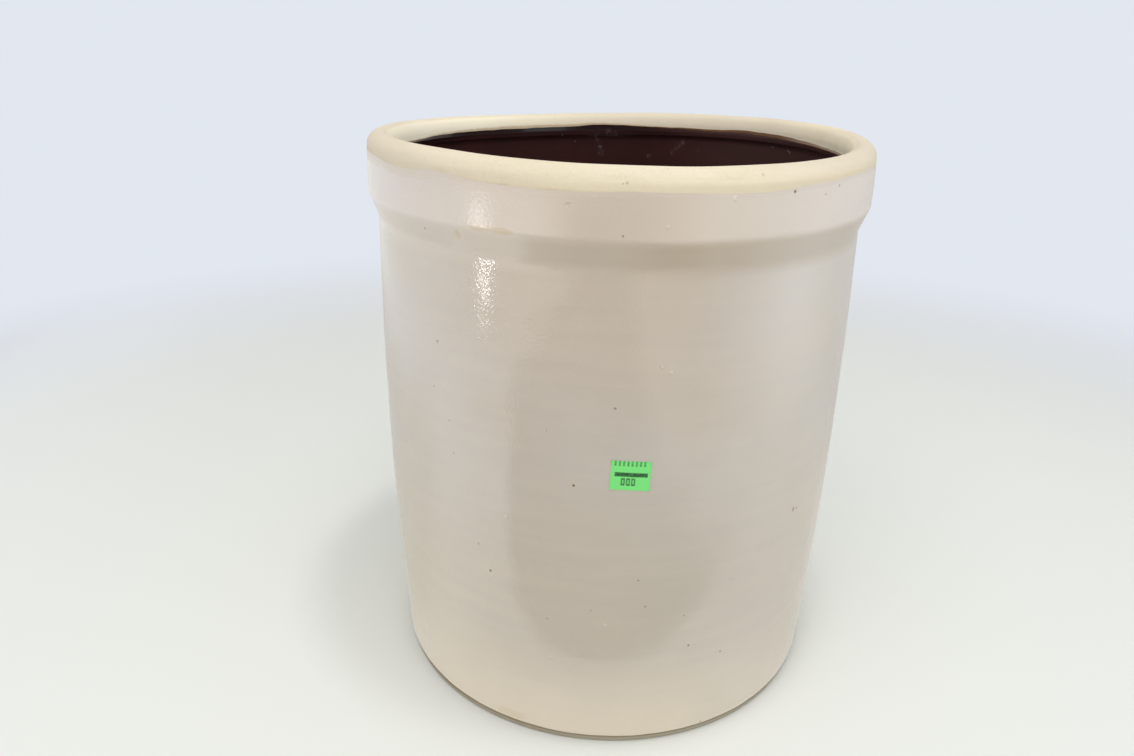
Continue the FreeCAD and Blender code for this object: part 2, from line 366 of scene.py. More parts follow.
def settle_in_kiln(piece):
    """What firing does to a turned pot: the rim's saddle, and swells that fade towards base and axis."""
    places = places_of(piece)
    x, y, z = places.T
    angles = angles_of(places)
    radius = np.hypot(x, y)
    share = z / HEIGHT
    rim = ease((z - LIP_LOW) / (HEIGHT - LIP_LOW))
    up = share * (SADDLE_SQUARE * np.cos(2 * angles) + SADDLE_DIAGONAL * np.sin(2 * angles))
    up += rim * MM * waves(angles, RIM_WAVES)
    above_base = ease(share * 8)
    off_axis = ease(radius / WALL_FOOT * 4 - 2.5)
    grow = 1 + kiln_swell(angles, share) * (above_base * off_axis) * MM / np.maximum(radius, MM)
    put_places(piece, np.column_stack((x * grow, y * grow, z + up)))


def smooth(piece, sharp):
    """Shade a piece smooth, but for edges that bend more than this many degrees."""
    bpy.ops.object.select_all(action="DESELECT")
    bpy.context.view_layer.objects.active = piece
    piece.select_set(True)
    bpy.ops.object.shade_smooth_by_angle(angle=math.radians(sharp))


def hand_over(piece, finish, node):
    """Give a finished piece its material and its place in the frame."""
    piece.data.materials.clear()
    piece.data.materials.append(finish)
    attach(piece, "root")
    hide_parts(node)


# Finishes

def colour(red, green, blue):
    """Colour as a screen shows it, in 0 to 255, turned into the light that a shader mixes."""
    shares = [value / 255 for value in (red, green, blue)]
    return tuple(s / 12.92 if s <= 0.04045 else ((s + 0.055) / 1.055) ** 2.4 for s in shares) + (1,)


class Value:
    """One output of a finish's nodes. Python's operators on it add Math nodes."""

    def __init__(self, finish, socket):
        self.finish = finish
        self.socket = socket

    def maths(self, operation, *values):
        return self.finish.node("ShaderNodeMath", {"operation": operation}, dict(enumerate(values)))

    def __add__(self, other):
        return self.maths("ADD", self, other)

    def __radd__(self, other):
        return self.maths("ADD", other, self)

    def __sub__(self, other):
        return self.maths("SUBTRACT", self, other)

    def __rsub__(self, other):
        return self.maths("SUBTRACT", other, self)

    def __mul__(self, other):
        return self.maths("MULTIPLY", self, other)

    def __truediv__(self, other):
        return self.maths("DIVIDE", self, other)

    def least(self, other):
        return self.maths("MINIMUM", self, other)

    def most(self, other):
        return self.maths("MAXIMUM", self, other)

    def ramp(self, low, high):
        """0 below low, 1 above high, soft between. With low above high it falls instead."""
        sockets = {"Value": self, "From Min": low, "From Max": high}
        return self.finish.node("ShaderNodeMapRange", {"interpolation_type": "SMOOTHSTEP"}, sockets)


class Finish:
    """A material as expressions. place is in metres, wrapped in millimetres round the wall and up."""

    def __init__(self, name):
        self.material = bpy.data.materials.new(name)
        self.material.use_nodes = True
        self.tree = self.material.node_tree
        self.tree.nodes.clear()
        self.place = self.node("ShaderNodeTexCoord", output="Object")
        self.x, self.y, self.z = (self.axis(self.place, name) for name in "XYZ")
        along = self.y.maths("ARCTAN2", self.y, self.x) * BAND / MM
        self.wrapped = self.node("ShaderNodeCombineXYZ", None, {"X": along, "Y": self.z / MM})

    def node(self, kind, settings=None, sockets=None, output=0):
        """Add a node: settings first, then a value or a link for each socket. Gives the output asked for."""
        made = self.tree.nodes.new(kind)
        for name, setting in (settings or {}).items():
            setattr(made, name, setting)
        for name, given in (sockets or {}).items():
            if isinstance(given, Value):
                self.tree.links.new(given.socket, made.inputs[name])
            else:
                made.inputs[name].default_value = given
        return Value(self, made.outputs[output])

    def axis(self, place, name):
        """One axis of a place."""
        return self.node("ShaderNodeSeparateXYZ", None, {0: place}, name)

    def vectors(self, operation, *given, output=0):
        """Maths on places. An operation that gives a number gives it as the output Value."""
        return self.node("ShaderNodeVectorMath", {"operation": operation}, dict(enumerate(given)), output)

    def noise(self, size, detail=2, stretch=(1, 1, 1)):
        """Soft noise from 0 to 1. Its lumps have this size in metres, drawn out along x, y, z by stretch."""
        place = self.vectors("MULTIPLY", self.place, tuple(1 / (size * part) for part in stretch))
        return self.node("ShaderNodeTexNoise", None, {"Vector": place, "Scale": 1.0, "Detail": detail})

    def grains(self, size, share, radius):
        """Small round grains strewn at random: about this share of cells of this size holds one."""
        cell = {"Vector": self.place, "Scale": 1 / size}
        away = self.node("ShaderNodeTexVoronoi", None, cell, output="Distance")
        chance = self.node("ShaderNodeTexVoronoi", None, cell, output="Color")
        held = self.node("ShaderNodeSeparateColor", None, {0: chance}, output="Red").ramp(share, share * 0.9)
        return held * away.ramp(radius / size, radius / size * 0.6)

    def mix(self, share, first, second):
        """Colour from first to second."""
        return self.node("ShaderNodeMix", {"data_type": "RGBA"}, {0: share, 6: first, 7: second}, output=2)

    def over(self, tone, *layers):
        """Lay colours over a tone, one after another. A layer is its share and its colour."""
        for share, laid in layers:
            tone = self.mix(share, tone, laid)
        return tone

    def stored(self, name):
        """A value that the piece stores on its points."""
        return self.node("ShaderNodeAttribute", {"attribute_name": name}, output="Fac")

    def away(self, marks):
        """Millimetres outside the nearest mark. A mark is degrees round, millimetres up and its radius."""
        nearest = None
        for degrees, level, radius in marks:
            middle = (math.radians(degrees) * BAND / MM, level, 0)
            away = self.vectors("DISTANCE", self.wrapped, middle, output="Value") - radius
            nearest = away if nearest is None else nearest.least(away)
        return nearest

    def blot(self, degrees, level, wide, tall):
        """Soft oval blot, 1 in its middle: degrees round, millimetres up, then its half width and height."""
        middle = (math.radians(degrees) * BAND / MM, level, 0)
        sized = self.vectors("DIVIDE", self.vectors("SUBTRACT", self.wrapped, middle), (wide, tall, 1))
        return self.vectors("LENGTH", sized, output="Value").ramp(1.15, 0.35)

    def relief(self, *layers):
        """Surface normal of a relief. A layer is a height from 0 to 1 and its depth in metres."""
        normal = None
        for height, depth in layers:
            sockets = {"Height": height, "Distance": depth, "Strength": 1.0}
            if normal:
                sockets["Normal"] = normal
            normal = self.node("ShaderNodeBump", None, sockets)
        return normal

    def close(self, shader):
        """End the material with this shader."""
        end = self.tree.nodes.new("ShaderNodeOutputMaterial")
        self.tree.links.new(shader.socket, end.inputs["Surface"])
        return self.material

    def done(self, **sockets):
        """End the material with a principled shader whose sockets take these values."""
        named = {name.replace("_", " "): given for name, given in sockets.items()}
        return self.close(self.node("ShaderNodeBsdfPrincipled", None, named))


# Marks on the pot, each as degrees round it, millimetres over the base and radius in millimetres

DARK_SPECKS = ((-115.8, 105.6, 0.6), (-96.5, 166.6, 0.6), (-60.5, 55.9, 0.45), (-55.8, 307.3, 0.6))
IRON_SPECKS = (
    (-88.7, 208.7, 0.5), (-82.3, 112.6, 0.4), (-80.4, 96.0, 0.5), (-71.2, 87.3, 0.4), (-69.4, 66.3, 0.6),
    (-128.9, 227.9, 0.5), (-130.5, 202.7, 0.3), (-118.8, 120.1, 0.4), (-101.9, 84.2, 0.3),
    (-92.2, 93.1, 0.25), (-63.4, 6.4, 0.6), (-109.3, 3.9, 0.4), (-88.6, 290.5, 0.4), (-47.2, 304.4, 0.3),
    (-42.8, 307.2, 0.4), (-102.2, 194.6, 0.25), (-125.1, 169.0, 0.25), (-144.6, 158.9, 0.3),
    (-125.9, 187.1, 0.25),
)
RIM_SPECKS = ((-63.1, 315.4, 0.4), (-88.2, 312.9, 0.5), (-88.9, 312.6, 0.3))
CHIPS = ((-41.9, 133.2, 0.9), (-41.7, 131.8, 0.8), (-40.4, 132.0, 0.6), (-130.4, 284.0, 0.5))
BLISTERS = (
    (-111.5, 142.1, 0.8), (-89.0, 84.5, 0.7), (-101.4, 59.5, 0.6), (-101.0, 57.0, 0.5), (-68.7, 306.2, 1.1),
    (-80.8, 294.6, 0.7), (-74.3, 36.2, 0.5), (-75.2, 36.0, 0.4), (-80.0, 229.6, 0.7), (-78.1, 226.5, 0.9),
    (-57.1, 289.5, 0.6),
)
PITS = ((-98.5, 302.8, 1.0), (-98.0, 303.2, 0.7), (-60.2, 103.4, 1.6))
SMEARS = (
    (97.0, 304.5, 1.2), (96.4, 300.5, 1.0), (95.8, 296.5, 0.8), (95.5, 292.5, 1.2), (93.4, 306.5, 1.4),
    (91.0, 305.5, 1.0), (69.1, 301.6, 0.8), (70.2, 299.2, 0.6), (71.2, 297.0, 0.5), (72.5, 294.3, 0.8),
    (64.0, 297.0, 0.3), (80.0, 291.0, 0.6),
)
DROPS = (
    (37.3, 304.4, 0.4), (38.0, 304.2, 0.3), (31.4, 303.6, 0.4), (30.9, 303.2, 0.4), (30.4, 302.6, 0.5),
    (108.4, 304.4, 0.3), (104.0, 300.0, 0.2),
)

# Stains: degrees round, millimetres over the base, half width, half height and strength
STAINS = (
    (-111.0, 289.3, 8.0, 2.5, 0.42), (-115.5, 289.6, 9.0, 2.2, 0.25), (-121.1, 285.0, 2.2, 3.2, 0.4),
    (-112.0, 9.0, 14.0, 5.0, 0.22),
)

# Colours that more than one part of a finish uses
WARM_CREAM = colour(232, 218, 195)
SAND = colour(212, 194, 160)
TOAST = colour(178, 146, 104)


def cream_wall(glaze):
    """Coat's wall: cloudy, with painted light paler towards both sides and a painted browner reflection at
    the head of the front.
    """
    thick = colour(203, 192, 178)
    cool = colour(205, 197, 189)
    painted_light_left_low = colour(214, 204, 186)
    painted_light_left_high = colour(223, 217, 213)
    painted_light_right = colour(235, 227, 222)
    head = colour(206, 189, 170)

    cloud = glaze.noise(0.060, 3).ramp(0.2, 0.7) * glaze.z.ramp(0.10, 0.20)
    left = glaze.x.ramp(-0.045, -0.10)
    low_left = glaze.z.ramp(0.16, 0.08) * glaze.z.ramp(0.0, 0.05) * 0.40 + 0.25
    right = glaze.x.ramp(0.035, 0.085)
    high_right = glaze.z.ramp(0.17, 0.26) * 0.38 + 0.12
    far_right = glaze.x.ramp(0.09, 0.12)
    front = glaze.x.ramp(-0.10, -0.03) * glaze.x.ramp(0.09, 0.02) * glaze.y.ramp(0.0, -0.05)
    return glaze.over(
        glaze.mix(cloud, thick, cool),
        # Painted light from the left: paler low down, cooler higher up.
        (left * low_left, glaze.mix(glaze.z.ramp(0.08, 0.20), painted_light_left_low, painted_light_left_high)),
        # Painted light from the right, weaker at the far right.
        (right * high_right * (1 - far_right * 0.45), painted_light_right),
        # Painted browner reflection at the head of the front.
        (glaze.z.ramp(0.15, 0.27) * front * 0.7, head),
    )


def cream_warmth(glaze, tone):
    """The coat is warmer low down, where it is thin and has painted bounce light, less so at the right, and
    in soft lumps and streaks drawn round the pot.
    """
    # Painted bounce light from the floor, over a thinner coat, weaker at the right.
    low = glaze.z.ramp(0.072, 0.005) * (0.80 - glaze.x.ramp(0.035, 0.08) * 0.30)
    lumps = (glaze.noise(0.025) - 0.5) * 0.25
    streaks = (glaze.noise(0.006, 3, stretch=(12, 12, 1)) - 0.5) * 0.30 + 0.05
    return glaze.over(tone, (low + lumps, WARM_CREAM), (streaks, WARM_CREAM))


def cream_band(glaze, tone):
    """The band is lighter, with painted light at its sides and a painted darker reflection in front; the
    cove has painted shade at its right, painted light at its left.
    """
    band = colour(228, 215, 201)
    band_left_painted_light = colour(226, 217, 213)
    band_right_painted_light = colour(236, 226, 219)
    band_front_dark_reflection = colour(214, 196, 179)
    shaded = colour(194, 176, 153)

    middle = glaze.x.ramp(-0.040, -0.012) * glaze.x.ramp(0.05, 0.01)
    around = glaze.over(
        band,
        # Painted light at the band's sides.
        (glaze.x.ramp(-0.05, -0.12) * 0.8, band_left_painted_light),
        (glaze.x.ramp(0.05, 0.12) * 0.8, band_right_painted_light),
        # Painted darker reflection at the band's front.
        (middle * 0.8, band_front_dark_reflection),
    )
    cove = glaze.z.ramp(0.268, 0.276) * glaze.z.ramp(0.290, 0.285)
    return glaze.over(
        tone,
        (glaze.z.ramp(0.284, 0.290) * 0.85, around),
        # Painted shade at the right of the cove.
        (cove * glaze.x.ramp(-0.01, 0.04) * 0.5, shaded),
        # Painted light at the left of the cove, in the band's tone.
        (cove * glaze.x.ramp(-0.01, -0.05) * 0.42, band),
    )


def cream_marks(glaze, tone, dark, speck, chip, blister):
    """Stains, specks, chips and blisters in their places on the coat, and strewn grains."""
    tan = colour(206, 180, 126)
    iron = colour(88, 66, 46)
    chipped = colour(160, 124, 82)
    white = colour(232, 226, 212)

    uneven = glaze.noise(0.004, 3) - 0.5
    for degrees, level, wide, tall, strength in STAINS:
        stain = (glaze.blot(degrees, level, wide, tall) + uneven).ramp(0.3, 1.0)
        tone = glaze.mix(stain * strength, tone, tan)
    behind = glaze.y.ramp(0.0, 0.04)
    return glaze.over(
        tone,
        (dark.ramp(1.0, 0) * 0.30, tan),
        (dark.ramp(0.3, -0.3) * 0.85, iron),
        (speck.ramp(0.5, -0.4) * 0.55, iron),
        (chip.ramp(0.25, -0.25) * 0.7, chipped),
        # Blisters whitish, partly a painted glint.
        (blister.ramp(0.35, -0.35) * 0.5, white),
        (glaze.grains(0.028, 0.35, 0.0008) * behind * 0.8, iron),
        (glaze.grains(0.009, 0.18, 0.00025) * 0.45, tan),
    )


def cream_glaze():
    """Greyish cream gloss over buff clay: warmer where it is thin, with iron specks, blisters and pits."""
    glaze = Finish("cream_glaze")
    thin = colour(222, 208, 192)
    dark = glaze.away(DARK_SPECKS)
    speck = glaze.away(IRON_SPECKS)
    chip = glaze.away(CHIPS)
    blister = glaze.away(BLISTERS)

    ragged = glaze.noise(0.004, 3) * 1.6 - 0.8
    fade = (glaze.stored("below_edge") + ragged).ramp(4.5, 0.0)
    foot = (glaze.stored("above_foot") + ragged).ramp(3.0, 0.2)
    tone = cream_band(glaze, cream_warmth(glaze, cream_wall(glaze)))
    tone = glaze.over(tone, (fade * 0.6, thin), (foot * 0.6, WARM_CREAM))
    tone = cream_marks(glaze, tone, dark, speck, chip, blister)

    dents = glaze.away(PITS).least(chip).least(dark).least(speck).ramp(0.4, -0.4)
    normal = glaze.relief(
        (glaze.noise(0.016, 2), 0.00022),
        (glaze.noise(0.0014, 2), 0.00009),
        (blister.ramp(0.5, -0.5) - dents, 0.00025),
    )
    rough = glaze.noise(0.010, 2) * 0.06 + 0.06 + fade * 0.2 + glaze.z.ramp(0.286, 0.292) * 0.11
    return glaze.done(Base_Color=tone, Roughness=rough, IOR=1.6, Normal=normal)


def sandy_clay(clay, turned, sandy):
    """Tone of plain clay: buff, cloudy and sandy, with fine turning rings."""
    buff = colour(233, 220, 194)
    pale = colour(237, 225, 200)
    return clay.over(
        clay.mix(clay.noise(0.030, 3).ramp(0.3, 0.7), buff, pale),
        (clay.noise(0.008, 4).ramp(0.5, 0.8) * 0.25, SAND),
        (turned.ramp(0.5, 0.85) * 0.25, SAND),
        (sandy.ramp(0.45, 0.75) * 0.30, SAND),
    )


def rim_painted_light_and_shade(clay, tone, inside):
    """Painted light and shade on the rim: brighter inside at the left and low in front, dimmer at its sides,
    back and crest.
    """
    inside_painted_light = colour(242, 232, 205)
    painted_glow = colour(255, 244, 220)
    rim_painted_shade = colour(216, 203, 184)
    low = colour(250, 235, 206)
    crest = colour(214, 203, 182)

    sides = clay.x.ramp(0.05, 0.12).most(clay.x.ramp(-0.05, -0.12)) * clay.y.ramp(0.05, 0.0)
    back = clay.y.ramp(0.04, 0.08) * clay.x.ramp(-0.08, 0.0)
    facing = clay.y.ramp(0.0, -0.05) * (1 - inside)
    more_at_right = 0.25 + clay.x.ramp(0.04, 0.09) * 0.35
    return clay.over(
        tone,
        # Painted light inside at the left, brightest near the top.
        (inside * clay.x.ramp(0.04, -0.06) * 0.5, inside_painted_light),
        (inside * clay.x.ramp(-0.05, -0.11) * clay.z.ramp(0.3205, 0.3165) * 0.75, painted_glow),
        # Painted shade at the rim's sides and back.
        ((sides * (1 - inside)).most(back) * 0.5, rim_painted_shade),
        # Painted light low on the rim's front.
        (facing * clay.z.ramp(0.3155, 0.3120) * clay.x.ramp(-0.07, 0.0) * 0.6, low),
        # Painted shade on the crest in front, more at the right.
        (facing * clay.z.ramp(0.3150, 0.3180) * more_at_right, crest),
    )


def toasted_edges(clay, tone, inside):
    """The clay is toasted beside the slip, and sandy and toasted above the cream coat."""
    outside = 1 - inside
    above_coat = clay.stored("above_coat")
    ragged = clay.noise(0.005, 3) * 3 - 1.5
    beside_slip = (clay.stored("above_slip") + clay.noise(0.003, 3) * 1.2 - 0.6).ramp(0.9, -0.4)
    left = clay.x.ramp(0.0, -0.05) * clay.noise(0.012, 2).ramp(0.35, 0.6)
    return clay.over(
        tone,
        (beside_slip * inside * 0.6, TOAST),
        ((above_coat + ragged).ramp(4.5, -0.5) * outside * 0.30, SAND),
        ((above_coat + ragged * 0.4).ramp(1.4, -0.6) * left * outside * 0.5, TOAST),
    )


def bare_clay():
    """Buff fired clay, a little sandy: toasted beside both coats, with fine dark grains, painted light and
    shade on the rim, and painted shade on the foot.
    """
    clay = Finish("bare_clay")
    foot_painted_shade = colour(160, 151, 133)
    foot_painted_deep_shade = colour(112, 96, 70)
    grit = colour(120, 92, 60)

    turned = clay.noise(0.0022, 2, stretch=(14, 14, 1))
    sandy = clay.noise(0.0010, 3)
    across = clay.node("ShaderNodeCombineXYZ", None, {"X": clay.x, "Y": clay.y})
    inside = clay.vectors("LENGTH", across, output="Value").ramp(MOUTH + 3 * MM, MOUTH + 1 * MM)
    tone = rim_painted_light_and_shade(clay, sandy_clay(clay, turned, sandy), inside)
    tone = clay.over(
        toasted_edges(clay, tone, inside),
        # Painted shade on the foot, deepest at its top under the coat's edge.
        (clay.z.ramp(0.0060, 0.0045) * 0.85, clay.mix(clay.z.ramp(0.0030, 0.0048), foot_painted_shade, foot_painted_deep_shade)),
        (clay.grains(0.0042, 0.22, 0.00035) * 0.30, grit),
        (clay.away(RIM_SPECKS).ramp(0.5, -0.4) * 0.4, grit),
    )
    normal = clay.relief((clay.noise(0.006, 3), 0.00018), (turned, 0.00008), (sandy, 0.00006))
    return clay.done(Base_Color=tone, Roughness=clay.noise(0.008) * 0.15 + 0.68, Normal=normal)


def brown_slip():
    """Very dark red-brown gloss slip, thin and brown at its edge, with dried-on smears and drops, painted
    light at the right and painted shade below its edge at the left.
    """
    slip = Finish("brown_slip")
    dark = colour(60, 36, 35)
    red = colour(67, 38, 36)
    paler = colour(76, 52, 50)
    darker = colour(36, 21, 20)
    thin = colour(128, 92, 58)
    chalk = colour(150, 140, 138)

    from_edge = slip.stored("below_edge")
    edge = (from_edge + slip.noise(0.002, 3) * 0.8 - 0.4).ramp(0.8, 0.0)
    patchy = slip.noise(0.003, 4).ramp(0.35, 0.75) * 0.8 + 0.1
    smears = slip.away(SMEARS).ramp(2.2, -1.0) * patchy
    drops = slip.away(DROPS).ramp(0.6, -0.4)
    tone = slip.over(
        slip.mix(slip.noise(0.030, 3).ramp(0.4, 0.75), dark, red),
        # Painted light on the slip at the right.
        (slip.x.ramp(0.02, 0.09), paler),
        # Painted shade below the edge at the left.
        (from_edge.ramp(7.0, 2.5) * slip.x.ramp(0.06, 0.0), darker),
        (edge * 0.7, thin),
        (smears * 0.30, chalk),
        (drops * 0.45, chalk),
    )
    normal = slip.relief((slip.noise(0.018, 2), 0.0003), (slip.noise(0.0035, 2), 0.00006))
    rough = slip.noise(0.012) * 0.12 + 0.12 + (smears + drops) * 0.3
    return slip.done(Base_Color=tone, Roughness=rough, IOR=1.5, Normal=normal)


# Print on the label, in shares of its width and height: a row of dashes, a bar and three hollow blocks
DASHES = 8
DASH_LEFT = 0.08
DASH_STEP = 0.105
DASH_WIDE = 0.05
DASH_LOW = 0.83
DASH_HIGH = 1.2
BAR = (0.10, 0.93, 0.47, 0.61)
BLOCKS = (0.27, 0.40, 0.53)
BLOCK_WIDE = 0.10
BLOCK_LOW = 0.16
BLOCK_HIGH = 0.42
HOLLOW_LEFT = 0.035
HOLLOW_RIGHT = 0.065
HOLLOW_LOW = 0.22
HOLLOW_HIGH = 0.36
PRINT_SOFT = 0.012


def green_paper():
    """Bright green price-label paper with plain printed shapes in three rows."""
    paper = Finish("green_paper")
    sheet_place = paper.node("ShaderNodeTexCoord", output="UV")
    across = paper.axis(sheet_place, "X")
    up = paper.axis(sheet_place, "Y")

    def past(value, edge):
        return value.ramp(edge - PRINT_SOFT, edge + PRINT_SOFT)

    def before(value, edge):
        return value.ramp(edge + PRINT_SOFT, edge - PRINT_SOFT)

    def bar(left, right, low, high):
        return past(across, left) * before(across, right) * past(up, low) * before(up, high)

    ink = colour(24, 62, 34)
    worn = paper.noise(0.0006, 3).ramp(0.25, 0.6)
    sheet = paper.mix(paper.noise(0.004, 3) * 0.25, colour(129, 240, 130), colour(140, 243, 146))
    lefts = [DASH_LEFT + DASH_STEP * number for number in range(DASHES)]
    top_row = bar(lefts[0], lefts[0] + DASH_WIDE, DASH_LOW, DASH_HIGH)
    for left in lefts[1:]:
        top_row = top_row.most(bar(left, left + DASH_WIDE, DASH_LOW, DASH_HIGH))
    tone = paper.over(sheet, (top_row * (worn * 0.4 + 0.25), ink), (bar(*BAR) * (worn * 0.35 + 0.6), ink))
    for left in BLOCKS:
        block = bar(left, left + BLOCK_WIDE, BLOCK_LOW, BLOCK_HIGH)
        hollow = bar(left + HOLLOW_LEFT, left + HOLLOW_RIGHT, HOLLOW_LOW, HOLLOW_HIGH)
        tone = paper.mix((block - hollow) * (worn * 0.4 + 0.45), tone, ink)
    normal = paper.relief((paper.noise(0.0004, 3), 0.00002))
    return paper.done(Base_Color=tone, Roughness=0.62, Normal=normal)


# Pieces

def clay_edge(middle):
    """Longest edge of the clay's section here: short where the clay stays bare."""
    bare = middle.z > CLAY_BARE_HEAD or middle.z < CLAY_BARE_FOOT
    return CLAY_FINE if bare and middle.x > CAVITY_FOOT else CLAY_PLAIN


def cream_edge(middle):
    """Longest edge of the cream coat's section here."""
    return CREAM_PLAIN if CREAM_PLAIN_LOW < middle.z < CREAM_PLAIN_HIGH else CREAM_FINE


def brown_edge(middle):
    """Longest edge of the slip's section here."""
    return BROWN_FINE if middle.z > BROWN_PLAIN_HIGH else BROWN_PLAIN


def clay_body():
    """Bare clay: floor, wall, band, rolled rim and bevelled foot."""
    piece = trace_section("crock_clay", [
        (0, 0, 0),
        (WALL_FOOT - BEVEL_WIDE, 0, FOOT_ROUND),
        (WALL_FOOT, BEVEL_HIGH, FOOT_ROUND),
        (WALL_HEAD, COVE_LOW, COVE_ROUND),
        (BAND, BAND_LOW, BAND_ROUND),
        (BAND, HEIGHT, SHOULDER),
        (lip(ROLL_LOW) + CREST_WIDE, HEIGHT, CREST_ROUND),
        (lip(ROLL_LOW), ROLL_LOW, ROLL_ROUND),
        (THROAT, THROAT_LEVEL, THROAT_ROUND),
        (THROAT + LIP_STEP, LIP_LOW, LIP_ROUND),
        (CAVITY_HEAD, CAVITY_TOP, 0),
        (CAVITY_FOOT, FLOOR, FLOOR_ROUND),
        (0, FLOOR, 0),
    ], closed=False)
    turn_section(piece, clay_edge)
    settle_in_kiln(piece)
    mark_distance(piece, "above_slip", SLIP_EDGE, -1)
    mark_distance(piece, "above_coat", COAT_EDGE, -1)
    smooth(piece, POT_SHARP)
    hand_over(piece, bare_clay(), "stoneware_body")


def cream_coat():
    """Cream coat outside, from the wavy line over the foot to the wavy dip line under the rim."""
    piece = trace_section("crock_cream_coat", [
        (WALL_FOOT - BEDDING, COAT_FOOT, 0),
        (WALL_FOOT + EDGE_LEFT, COAT_FOOT, 0),
        (WALL_FOOT + COAT, COAT_FOOT + COAT_FOOT_RISE, COAT_FOOT_ROUND),
        (WALL_HEAD + COAT, COVE_LOW, COVE_ROUND - COAT),
        (BAND + COAT, BAND_LOW, BAND_ROUND + COAT),
        (BAND + COAT, COAT_HEAD - COAT_THINS, COAT_THIN_ROUND),
        (BAND + EDGE_LEFT, COAT_HEAD, 0),
        (BAND - BEDDING, COAT_HEAD, 0),
        (BAND - BEDDING, BAND_LOW, BAND_ROUND),
        (WALL_HEAD - BEDDING, COVE_LOW, COVE_ROUND),
    ], closed=True)
    turn_section(piece, cream_edge)
    follow_edge(piece, COAT_EDGE, COAT_HEAD, HEAD_STILL)
    follow_edge(piece, FOOT_EDGE, COAT_FOOT, FOOT_STILL)
    settle_in_kiln(piece)
    mark_distance(piece, "below_edge", COAT_EDGE, 1)
    mark_distance(piece, "above_foot", FOOT_EDGE, -1)
    smooth(piece, POT_SHARP)
    hand_over(piece, cream_glaze(), "outer_glaze")


def brown_coat():
    """Brown slip over the floor and the inside wall, up to its own wavy line."""
    piece = trace_section("crock_brown_slip", [
        (0, FLOOR + SLIP, 0),
        (CAVITY_FOOT - SLIP, FLOOR + SLIP, FLOOR_ROUND - SLIP),
        (CAVITY_HEAD - SLIP, CAVITY_TOP, 0),
        (THROAT + LIP_STEP - SLIP, LIP_LOW - LIP_STEP, SLIP_LIP_ROUND),
        (THROAT - SLIP, THROAT_LEVEL, THROAT_ROUND),
        (lip(SLIP_HEAD) - EDGE_LEFT, SLIP_HEAD, 0),
        (lip(SLIP_HEAD) + BEDDING, SLIP_HEAD, 0),
        (THROAT + BEDDING, THROAT_LEVEL, THROAT_ROUND),
        (THROAT + LIP_STEP + BEDDING, LIP_LOW, SLIP_BACK_ROUND),
        (CAVITY_HEAD + BEDDING, CAVITY_TOP, 0),
        (CAVITY_FOOT + BEDDING, FLOOR - BEDDING, FLOOR_ROUND),
        (0, FLOOR - BEDDING, 0),
    ], closed=False)
    turn_section(piece, brown_edge)
    follow_edge(piece, SLIP_EDGE, SLIP_HEAD, SLIP_STILL, LIP_LEAN)
    settle_in_kiln(piece)
    mark_distance(piece, "below_edge", SLIP_EDGE, 1)
    smooth(piece, POT_SHARP)
    hand_over(piece, brown_slip(), "inner_glaze")


def wrap_label(places):
    """Lay a flat sheet, one unit wide and tall, on the wall: turned a little, its corners lifted a hair."""
    across, up = places[:, 0], places[:, 1]
    along = across * LABEL_WIDE
    rise = up * LABEL_TALL
    turned_along = along * math.cos(LABEL_LEAN) + rise * math.sin(LABEL_LEAN)
    z = LABEL_LEVEL + (rise * math.cos(LABEL_LEAN) - along * math.sin(LABEL_LEAN))
    share = (z - BEVEL_HIGH) / (COVE_LOW - BEVEL_HIGH)
    wall = WALL_FOOT + (WALL_HEAD - WALL_FOOT) * share + bulge(BELLY, share) + COAT
    curled = np.clip(np.abs(across) + np.abs(up) - LABEL_FLAT, 0, 1) ** 2
    radius = wall + LABEL_LIFT * curled * LABEL_CURL + LABEL_GAP
    angle = LABEL_TURN + turned_along / wall
    return np.column_stack((radius * np.cos(angle), radius * np.sin(angle), z))


def paper_label():
    """Paper label that follows the wall."""
    bpy.ops.object.select_all(action="DESELECT")
    bpy.ops.mesh.primitive_grid_add(x_subdivisions=LABEL_COLUMNS, y_subdivisions=LABEL_ROWS, size=1)
    piece = bpy.context.object
    piece.name = "crock_paper_label"
    put_places(piece, wrap_label(places_of(piece)))
    bpy.ops.object.modifier_add(type="SOLIDIFY")
    sheet = piece.modifiers[-1]
    sheet.thickness = LABEL_THICK
    sheet.offset = 1
    bpy.ops.object.modifier_apply(modifier=sheet.name)
    settle_in_kiln(piece)
    smooth(piece, LABEL_SHARP)
    hand_over(piece, green_paper(), "paper_label")


# Studio

# Paper sweep: how far it lies in front of the pot and behind it, half its width, its curve and its wall
SWEEP_FRONT = -2.5
SWEEP_BACK = 0.9
SWEEP_HALF = 3.5
SWEEP_CURVE = 0.4
SWEEP_STEPS = 12
SWEEP_WALL = 2

# Strength of the air's light, and what gloss mirrors of it
AIR = 0.47
AIR_MIRRORED = 0.1

